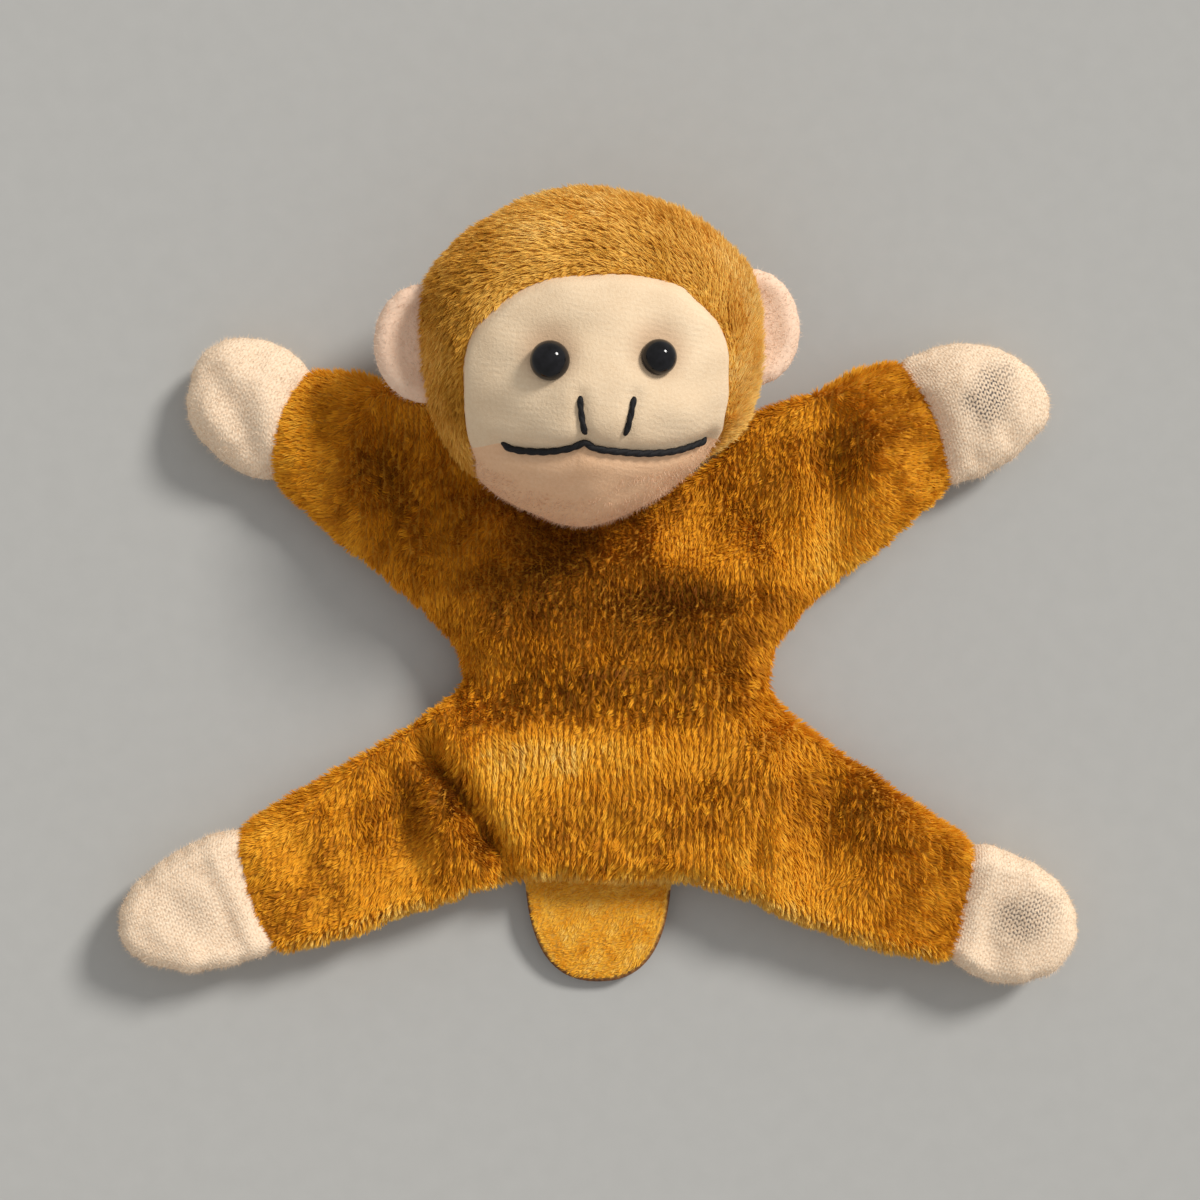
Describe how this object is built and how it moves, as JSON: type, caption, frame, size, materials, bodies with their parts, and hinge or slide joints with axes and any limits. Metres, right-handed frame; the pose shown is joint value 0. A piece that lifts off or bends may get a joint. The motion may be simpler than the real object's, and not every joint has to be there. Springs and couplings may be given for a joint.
{
  "type": "plush monkey magnet",
  "caption": "Flat stuffed plush monkey lying with arms and legs spread, with a round head, bare face, side ears, tab tail and a magnet in each paw.",
  "frame": {"origin": "on the flat back of the torso, in the middle of the toy, on the surface that it lies on or clings to", "axes": "+X to the right as seen from the front, +Y towards the head, +Z out of the face and away from the surface"},
  "size_m": [0.14, 0.1128, 0.0386],
  "materials": {
    "plush": "matte",
    "knit": "matte",
    "pink_knit": "matte",
    "filling": "matte",
    "magnet": "satin",
    "eye": "gloss",
    "washer": "satin",
    "thread": "matte"
  },
  "bodies": {
    "torso": {"torso_front": "plush", "torso_back": "plush", "torso_stuffing": "filling"},
    "arm_left": {"arm_left_front": "plush", "arm_left_back": "plush", "arm_left_stuffing": "filling"},
    "arm_right": {"arm_right_front": "plush", "arm_right_back": "plush", "arm_right_stuffing": "filling"},
    "leg_left": {"leg_left_front": "plush", "leg_left_back": "plush", "leg_left_stuffing": "filling"},
    "leg_right": {"leg_right_front": "plush", "leg_right_back": "plush", "leg_right_stuffing": "filling"},
    "hand_left": {"hand_left_front": "knit", "hand_left_back": "knit", "hand_left_wadding": "filling", "hand_left_magnet": "magnet"},
    "hand_right": {"hand_right_front": "knit", "hand_right_back": "knit", "hand_right_wadding": "filling", "hand_right_magnet": "magnet"},
    "foot_left": {"foot_left_front": "knit", "foot_left_back": "knit", "foot_left_wadding": "filling", "foot_left_magnet": "magnet"},
    "foot_right": {"foot_right_front": "knit", "foot_right_back": "knit", "foot_right_wadding": "filling", "foot_right_magnet": "magnet"},
    "neck": {"neck_tube": "plush"},
    "head": {"crown_front": "plush", "head_back": "plush", "face_panel": "knit", "chin_panel": "pink_knit", "head_stuffing": "filling", "eye_left": "eye", "eye_right": "eye", "eye_washer_left": "washer", "eye_washer_right": "washer", "nose_stitch_left": "thread", "nose_stitch_right": "thread", "mouth_stitch": "thread"},
    "ear_left": {"ear_left": "pink_knit"},
    "ear_right": {"ear_right": "pink_knit"},
    "tail": {"tail": "plush"}
  },
  "joints": [
    {"name": "shoulder_left", "type": "hinge", "parent": "torso", "child": "arm_left", "pos_m": [-0.0343, 0.015, 0.0045], "axis": [0, 1, 0], "range_deg": [-25, 65], "stiffness_Nm_per_rad": 0.01},
    {"name": "shoulder_right", "type": "hinge", "parent": "torso", "child": "arm_right", "pos_m": [0.0343, 0.015, 0.0045], "axis": [0, -1, 0], "range_deg": [-25, 65], "stiffness_Nm_per_rad": 0.01},
    {"name": "hip_left", "type": "hinge", "parent": "torso", "child": "leg_left", "pos_m": [-0.0317, -0.031, 0.0045], "axis": [0, 1, 0], "range_deg": [-25, 90], "stiffness_Nm_per_rad": 0.01},
    {"name": "hip_right", "type": "hinge", "parent": "torso", "child": "leg_right", "pos_m": [0.0317, -0.031, 0.0045], "axis": [0, -1, 0], "range_deg": [-25, 90], "stiffness_Nm_per_rad": 0.01},
    {"name": "wrist_left", "type": "hinge", "parent": "arm_left", "child": "hand_left", "pos_m": [-0.05078, 0.02662, 0.0045], "axis": [0.2934, 0.956, 0], "range_deg": [-40, 60], "stiffness_Nm_per_rad": 0.006},
    {"name": "wrist_right", "type": "hinge", "parent": "arm_right", "child": "hand_right", "pos_m": [0.04962, 0.02722, 0.0045], "axis": [0.384, -0.9233, 0], "range_deg": [-40, 60], "stiffness_Nm_per_rad": 0.006},
    {"name": "ankle_left", "type": "hinge", "parent": "leg_left", "child": "foot_left", "pos_m": [-0.05533, -0.04338, 0.0045], "axis": [-0.3263, 0.9453, 0], "range_deg": [-40, 60], "stiffness_Nm_per_rad": 0.006},
    {"name": "ankle_right", "type": "hinge", "parent": "leg_right", "child": "foot_right", "pos_m": [0.05492, -0.0446, 0.0045], "axis": [-0.2293, -0.9734, 0], "range_deg": [-40, 60], "stiffness_Nm_per_rad": 0.006},
    {"name": "neck_turn", "type": "hinge", "parent": "torso", "child": "neck", "pos_m": [-0.0024, 0.015, 0.0071], "axis": [-0.0139, 0.8639, 0.5035], "range_deg": [-12, 12], "stiffness_Nm_per_rad": 0.02, "deforming": ["neck_tube"]},
    {"name": "head_nod", "type": "hinge", "parent": "neck", "child": "head", "pos_m": [-0.0024, 0.015, 0.0071], "axis": [1, 0, 0], "range_deg": [-7, 12], "stiffness_Nm_per_rad": 0.03, "deforming": ["neck_tube"]},
    {"name": "ear_left_fold", "type": "hinge", "parent": "head", "child": "ear_left", "pos_m": [-0.02819, 0.03528, 0.02022], "axis": [-0.0401, 0.9992, 0], "range_deg": [-25, 25], "stiffness_Nm_per_rad": 0.002},
    {"name": "ear_right_fold", "type": "hinge", "parent": "head", "child": "ear_right", "pos_m": [0.02258, 0.03732, 0.01578], "axis": [0.0401, -0.9992, 0], "range_deg": [-25, 25], "stiffness_Nm_per_rad": 0.002},
    {"name": "tail_fold", "type": "hinge", "parent": "torso", "child": "tail", "pos_m": [-0.002, -0.0427, 0.0045], "axis": [-1, 0, 0], "range_deg": [-15, 60], "stiffness_Nm_per_rad": 0.002}
  ]
}
